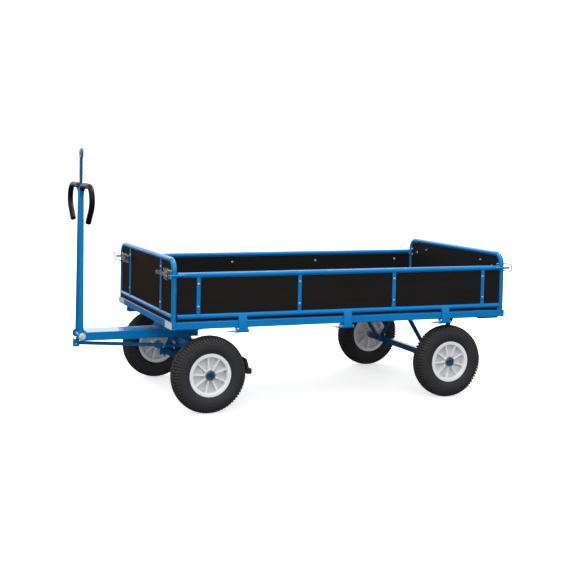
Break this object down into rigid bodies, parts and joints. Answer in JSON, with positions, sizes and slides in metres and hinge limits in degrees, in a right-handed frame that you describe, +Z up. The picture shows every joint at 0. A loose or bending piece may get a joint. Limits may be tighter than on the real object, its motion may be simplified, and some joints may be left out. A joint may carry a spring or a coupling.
{
  "type": "hand cart",
  "caption": "Hand cart with turntable steering, drawbar brake, hinged drop sides and lift-out end walls around a flat deck on pneumatic wheels.",
  "frame": {"origin": "on the floor under the middle of the whole cart", "axes": "+X along the cart away from the drawbar, +Y to the cart's right side, +Z up"},
  "size_m": [2.4246, 1.088, 1.373],
  "materials": {
    "blue_paint": "blue powder coat, semi-gloss",
    "coated_board": "dark phenolic film on plywood, satin",
    "tyre_rubber": "black rubber with block tread",
    "rim_plastic": "pale grey moulded plastic",
    "zinc": "zinc plated, satin",
    "bright_steel": "bright steel",
    "bush_plastic": "dark moulded nylon",
    "grip_rubber": "black soft sleeve, matte",
    "shoe_rubber": "black rubber",
    "black_plastic": "black moulded caps",
    "reflector_white": "white retroreflective sheet"
  },
  "bodies": {
    "platform": {"chassis_rails": "blue_paint", "chassis_beams": "blue_paint", "cross_members": "blue_paint", "deck_board": "coated_board", "beam_end_caps": "black_plastic", "front_reflectors": "reflector_white", "lashing_bars": "black_plastic", "hinge_brackets": "blue_paint", "hinge_pins": "zinc", "rear_axle": "blue_paint", "rear_struts": "blue_paint", "rear_axle_collars": "bright_steel", "rear_wheel_bushes": "bush_plastic", "turntable_upper_ring": "blue_paint"},
    "bogie": {"turntable_lower_ring": "blue_paint", "turntable_balls": "bright_steel", "bolster": "blue_paint", "front_axle": "blue_paint", "front_axle_collars": "bright_steel", "front_wheel_bushes": "bush_plastic", "draw_arm": "blue_paint", "drawbar_pivot_bolt": "zinc", "brake_rod_guide": "zinc"},
    "drawbar": {"drawbar_tubes": "blue_paint", "drawbar_pivot_tube": "blue_paint", "towing_eye": "blue_paint", "handle_grips": "grip_rubber"},
    "brake": {"brake_rod": "blue_paint", "brake_bar": "blue_paint", "brake_bar_caps": "black_plastic", "brake_shoes": "shoe_rubber"},
    "front_left_wheel": {"front_left_tyre": "tyre_rubber", "front_left_rim": "rim_plastic"},
    "front_right_wheel": {"front_right_tyre": "tyre_rubber", "front_right_rim": "rim_plastic"},
    "rear_left_wheel": {"rear_left_tyre": "tyre_rubber", "rear_left_rim": "rim_plastic"},
    "rear_right_wheel": {"rear_right_tyre": "tyre_rubber", "rear_right_rim": "rim_plastic"},
    "left_side": {"left_side_frame": "blue_paint", "left_side_board": "coated_board", "left_side_straps": "blue_paint"},
    "right_side": {"right_side_frame": "blue_paint", "right_side_board": "coated_board", "right_side_straps": "blue_paint"},
    "front_wall": {"front_wall_frame": "blue_paint", "front_wall_board": "coated_board", "front_latch_bases": "zinc"},
    "front_left_lever": {"front_left_latch_lever": "zinc"},
    "front_left_loop": {"front_left_latch_loop": "zinc"},
    "front_right_lever": {"front_right_latch_lever": "zinc"},
    "front_right_loop": {"front_right_latch_loop": "zinc"},
    "rear_wall": {"rear_wall_frame": "blue_paint", "rear_wall_board": "coated_board", "rear_latch_bases": "zinc"},
    "rear_left_lever": {"rear_left_latch_lever": "zinc"},
    "rear_left_loop": {"rear_left_latch_loop": "zinc"},
    "rear_right_lever": {"rear_right_latch_lever": "zinc"},
    "rear_right_loop": {"rear_right_latch_loop": "zinc"}
  },
  "joints": [
    {"name": "steering", "type": "hinge", "parent": "platform", "child": "bogie", "pos_m": [-0.60155, 0, 0.4045], "axis": [0, 0, 1], "range_deg": [-55, 55]},
    {"name": "drawbar_tilt", "type": "hinge", "parent": "bogie", "child": "drawbar", "pos_m": [-1.18005, 0, 0.357], "axis": [0, -1, 0], "range_deg": [0, 90], "stiffness_Nm_per_rad": 45, "springref_deg": -14.32},
    {"name": "brake_slide", "type": "slide", "parent": "bogie", "child": "brake", "axis": [1, 0, 0], "range_m": [0, 0.0626]},
    {"name": "front_left_wheel_spin", "type": "hinge", "parent": "bogie", "child": "front_left_wheel", "pos_m": [-0.60155, -0.48, 0.204], "axis": [0, 1, 0], "continuous": true},
    {"name": "front_right_wheel_spin", "type": "hinge", "parent": "bogie", "child": "front_right_wheel", "pos_m": [-0.60155, 0.48, 0.204], "axis": [0, 1, 0], "continuous": true},
    {"name": "rear_left_wheel_spin", "type": "hinge", "parent": "platform", "child": "rear_left_wheel", "pos_m": [0.83345, -0.48, 0.204], "axis": [0, 1, 0], "continuous": true},
    {"name": "rear_right_wheel_spin", "type": "hinge", "parent": "platform", "child": "rear_right_wheel", "pos_m": [0.83345, 0.48, 0.204], "axis": [0, 1, 0], "continuous": true},
    {"name": "left_side_drop", "type": "hinge", "parent": "platform", "child": "left_side", "pos_m": [0.17995, -0.5225, 0.432], "axis": [1, 0, 0], "range_deg": [0, 160]},
    {"name": "right_side_drop", "type": "hinge", "parent": "platform", "child": "right_side", "pos_m": [0.17995, 0.5225, 0.432], "axis": [-1, 0, 0], "range_deg": [0, 160]},
    {"name": "front_wall_lift", "type": "slide", "parent": "platform", "child": "front_wall", "axis": [0, 0, 1], "range_m": [0, 0.4]},
    {"name": "front_left_lever_swing", "type": "hinge", "parent": "front_wall", "child": "front_left_lever", "pos_m": [-0.82405, -0.44, 0.73], "axis": [0, 0, 1], "range_deg": [-7, 110]},
    {"name": "front_left_loop_swing", "type": "hinge", "parent": "front_left_lever", "child": "front_left_loop", "pos_m": [-0.8358, -0.42633, 0.73], "axis": [0, 0, 1], "range_deg": [-221, 15]},
    {"name": "front_right_lever_swing", "type": "hinge", "parent": "front_wall", "child": "front_right_lever", "pos_m": [-0.82405, 0.44, 0.73], "axis": [0, 0, -1], "range_deg": [-7, 110]},
    {"name": "front_right_loop_swing", "type": "hinge", "parent": "front_right_lever", "child": "front_right_loop", "pos_m": [-0.8358, 0.42633, 0.73], "axis": [0, 0, -1], "range_deg": [-221, 15]},
    {"name": "rear_wall_lift", "type": "slide", "parent": "platform", "child": "rear_wall", "axis": [0, 0, 1], "range_m": [0, 0.4]},
    {"name": "rear_left_lever_swing", "type": "hinge", "parent": "rear_wall", "child": "rear_left_lever", "pos_m": [1.18395, -0.44, 0.73], "axis": [0, 0, -1], "range_deg": [-7, 110]},
    {"name": "rear_left_loop_swing", "type": "hinge", "parent": "rear_left_lever", "child": "rear_left_loop", "pos_m": [1.19571, -0.42633, 0.73], "axis": [0, 0, -1], "range_deg": [-221, 15]},
    {"name": "rear_right_lever_swing", "type": "hinge", "parent": "rear_wall", "child": "rear_right_lever", "pos_m": [1.18395, 0.44, 0.73], "axis": [0, 0, 1], "range_deg": [-7, 110]},
    {"name": "rear_right_loop_swing", "type": "hinge", "parent": "rear_right_lever", "child": "rear_right_loop", "pos_m": [1.19571, 0.42633, 0.73], "axis": [0, 0, 1], "range_deg": [-221, 15]}
  ],
  "couplings": [
    {"joint": "brake_slide", "follows": "drawbar_tilt", "m_per_rad": 0.0396},
    {"joint": "front_left_loop_swing", "follows": "front_left_lever_swing", "ratio": -2},
    {"joint": "front_right_loop_swing", "follows": "front_right_lever_swing", "ratio": -2},
    {"joint": "rear_left_loop_swing", "follows": "rear_left_lever_swing", "ratio": -2},
    {"joint": "rear_right_loop_swing", "follows": "rear_right_lever_swing", "ratio": -2}
  ]
}
